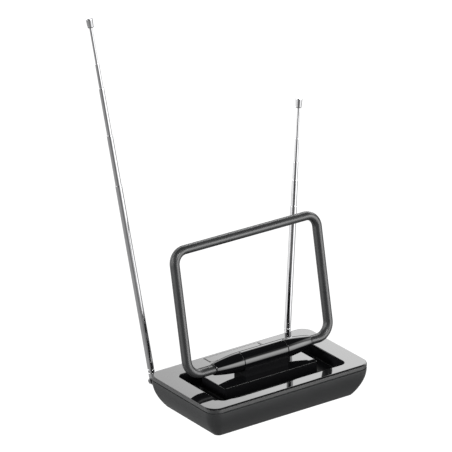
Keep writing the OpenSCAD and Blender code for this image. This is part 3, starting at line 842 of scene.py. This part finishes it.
def half_section(side):
    """C-shaped section of one shell: (outward, back) points; side -1 is the front shell."""
    groove = 0.28 * MM
    inner = TUBE_HALF - TUBE_WALL
    points = [(TUBE_HALF - groove, 0), (TUBE_HALF, groove)]
    points += arc(0, TUBE_FLANK, TUBE_HALF, 0, 180, steps=22)
    points += [(-TUBE_HALF, groove), (-TUBE_HALF + groove, 0), (-inner, 0)]
    points += arc(0, TUBE_FLANK, inner, 180, 0, steps=12)
    points += [(inner, 0)]
    return [(out, side * back) for out, back in points]


def build_loop_shell(node, side):
    """One half of the loop's tube, swept along its path."""
    section = half_section(side)
    rings = []
    for (x, up), away in loop_path():
        outward = ACROSS * away[0] + LOOP_UP * away[1]
        rings.append([loop_point(x, up) + outward * out + LOOP_BACK * back for out, back in section])
    finish_piece(node, ring_mesh(rings), "loop", "loop_plastic")


def build_end_cap(name, side):
    """Turned cap: a curved taper with a softened shoulder and an oval socket for the tube."""
    node = name + "_end_cap"
    low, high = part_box(node)
    start, stop = (low.x, high.x) if side > 0 else (-high.x, -low.x)
    length = stop - start
    shaft_r, shoulder = 3 * MM, 0.55 * MM
    end_edge, end_wall = 0.15 * MM, 0.5 * MM
    socket_depth = 5 * MM
    steps = 30
    taper = length - 2 * shoulder
    angles = full_turn(64)

    def radius_at(h):
        return BARREL_R - (BARREL_R - CAP_END_R) * (h / length) ** CAP_CURVE

    profile = [(0, shaft_r), (0, BARREL_R - shoulder)]
    profile += [(shoulder - x, BARREL_R - shoulder + y) for x, y in arc(0, 0, shoulder, 0, 90, steps=5)[1:-1]]
    profile += [(h, radius_at(h)) for h in (shoulder + taper * i / steps for i in range(steps + 1))]
    profile += [(length - end_edge, CAP_END_R - end_edge), (length, CAP_END_R - end_wall)]
    rings = [[(h, r * math.cos(a), r * math.sin(a)) for a in angles] for h, r in profile]
    oval = [(TUBE_HALF * math.cos(a) + math.copysign(TUBE_FLANK, math.cos(a)), TUBE_HALF * math.sin(a))
            for a in angles]
    rings += [[(h, back, up) for back, up in oval] for h in (length, length - socket_depth)]
    placed = [[loop_point(side * (start + h), up) + LOOP_BACK * back for h, back, up in ring]
              for ring in rings]
    finish_piece(node, ring_mesh(placed), "loop", "gloss_barrel")


# ---------- rods ----------

SECTION_R = (3.5 * MM, 3.1 * MM, 2.65 * MM, 2.1 * MM, 1.5 * MM)
SECTION_BORE = (3.3 * MM, 2.87 * MM, 2.4 * MM, 1.85 * MM)
PLUG_R = 2.96 * MM
PLUG_TOP = 17 * MM
PRESSED_RINGS = (6.3 * MM, 10.4 * MM)
# The tips are the object's highest points, and this keeps them inside the CAD's box
TIP_LOWER = 0.01 * MM
TIP_SLIMMER = 0.02 * MM


def tube_profile(foot, top, k):
    """Drawn tube: plain wall, rolled-in mouth round the next section, and its bore. The lowest tube also has
    pressed rings and holds the foot's plug."""
    radius, next_r, bore = SECTION_R[k - 1], SECTION_R[k], SECTION_BORE[k - 1]
    edge = 0.25 * MM
    ring_half, ring_depth, ring_steps = 0.55 * MM, 0.32 * MM, 8
    mouth, before_mouth, mouth_steps = 1.3 * MM, 0.4 * MM, 6
    lip_r = next_r + 0.14 * MM
    roll_r = lip_r + 0.16 * MM
    lip_depth, bore_depth = 2.2 * MM, 2.4 * MM
    profile = [(foot, radius - edge), (foot + edge, radius)]
    for z in PRESSED_RINGS if k == 1 else ():
        for i in range(ring_steps + 1):
            share = i / ring_steps
            profile.append((foot + z - ring_half + 2 * ring_half * share,
                            radius - ring_depth * math.sin(math.pi * share) ** 0.8))
    profile.append((top - mouth - before_mouth, radius))
    for i in range(mouth_steps + 1):
        a = math.pi / 2 * i / mouth_steps
        profile.append((top - mouth + mouth * math.sin(a), roll_r + (radius - roll_r) * math.cos(a)))
    profile += [(top, lip_r), (top - lip_depth, lip_r), (top - bore_depth, bore)]
    if k == 1:
        profile += [(PLUG_TOP, bore), (PLUG_TOP, PLUG_R), (foot, PLUG_R)]
    else:
        profile.append((foot, bore))
    return profile


def rod_profile(foot, top, radius):
    """Solid inner rod with a chamfered foot."""
    edge = 0.3 * MM
    return [(foot, radius - edge), (foot + edge, radius), (top, radius)]


def tip_profile(foot, top, radius):
    """Round button with a small radius below and a larger one above."""
    foot_r, top_r, foot_inset = 0.45 * MM, 1 * MM, 0.6 * MM
    profile = [(foot, radius - foot_inset)]
    profile += [(foot + foot_r - h, r) for h, r in reversed(arc(0, radius - foot_r, foot_r, 0, 90, steps=4))]
    profile += reversed(arc(top - top_r, radius - top_r, top_r, 0, 90, steps=6))
    return profile


def build_rod(name):
    """Telescopic rod: four tubes, the inner rod and its tip, each on the section's own body."""
    origin = Vector(JOINTS[name + "_tilt"]["pos_m"])
    axis = Vector(JOINTS[name + "_slide_2"]["axis"])
    bodies = [name + "_rod_base"] + [f"{name}_section_{k}" for k in (2, 3, 4, 5)]

    def add(node, body, profile, closed=False):
        finish_piece(node, turned(origin, axis, profile, closed=closed), body, "chrome_tube")

    for k in (1, 2, 3, 4):
        node = f"{name}_tube_{k}"
        foot, top, _ = reach(node, origin, axis)
        add(node, bodies[k - 1], tube_profile(foot, top, k), closed=True)
    node = name + "_inner_rod"
    add(node, bodies[4], rod_profile(*reach(node, origin, axis)))
    node = name + "_tip"
    foot, top, radius = reach(node, origin, axis)
    add(node, bodies[4], tip_profile(foot, top - TIP_LOWER, radius - TIP_SLIMMER))


# ---------- coaxial socket ----------

def build_coax():
    """Socket with a rolled thread outside the nut."""
    radius, root, bore = 4.76 * MM, 4.2 * MM, 2.4 * MM
    bore_depth, bore_edge = 7 * MM, 0.2 * MM
    pitch, depth = 0.794 * MM, 0.42 * MM
    segments, per_turn = 48, 8
    plain_start, step, plain_end = 3.2 * MM, 0.15 * MM, 0.6 * MM
    end_bevel, end_rim, end_face = 0.4 * MM, 0.1 * MM, 0.5 * MM
    front, end = COAX_LOW.y, COAX_HIGH.y
    thread_start, thread_end = BASE_BACK + plain_start, end - plain_end
    count = int((thread_end - thread_start) / pitch * per_turn)

    def ring(y, radii):
        return [(r * math.cos(a), y, COAX_Z + r * math.sin(a)) for a, r in zip(full_turn(segments), radii)]

    def round_ring(y, r):
        return ring(y, [r] * segments)

    rings = [round_ring(front, root), round_ring(thread_start - step, root)]
    for k in range(count + 1):
        y = thread_start + (thread_end - thread_start) * k / count
        fade = min(1, k / per_turn, (count - k) / per_turn)
        grooves = [1 - abs(((y / pitch + i / segments) % 1) * 2 - 1) for i in range(segments)]
        rings.append(ring(y, [radius - fade * depth * groove for groove in grooves]))
    rings += [round_ring(end - end_bevel, radius - end_rim), round_ring(end, radius - end_face),
              round_ring(end, bore + bore_edge), round_ring(end - bore_edge, bore),
              round_ring(end - bore_depth, bore)]
    finish_piece("coax_socket", ring_mesh(rings), "base", "nickel_fitting")


# ---------- everything ----------

# CAD shapes that are shown with rounded edges, and the width of the rounding
SOFT_EDGES = {
    "coax_nut": 0.3 * MM, "rear_hatch": 0.15 * MM, "case_screws": 0.12 * MM, "rubber_feet": 0.3 * MM,
    "ballast_plate": 0.4 * MM, "balun_core": 0.25 * MM, "capacitors": 0.5 * MM,
}
ROD_SOFT_EDGES = {"_swivel_hub": 0.3 * MM, "_hinge_pin": 0.3 * MM, "_rod_foot": 0.2 * MM}


def main():
    add_camera()
    add_world()
    add_floor()
    add_lights()
    build_base_shell()
    build_rim()
    build_cover()
    build_pedestal()
    build_loop_shell("loop_front_shell", -1)
    build_loop_shell("loop_rear_shell", 1)
    for name, side in SIDES.items():
        build_end_cap(name, side)
        build_rod(name)
    build_coax()
    for node, width in SOFT_EDGES.items():
        softened(node, width)
    for name in SIDES:
        for part, width in ROD_SOFT_EDGES.items():
            softened(name + part, width)
    for node, piece in frame["nodes"].items():
        piece.data.materials.clear()
        piece.data.materials.append(MATERIALS[SLOTS[node]])


MATERIALS = make_materials()
main()
bpy.context.scene.view_settings.view_transform = "Standard"
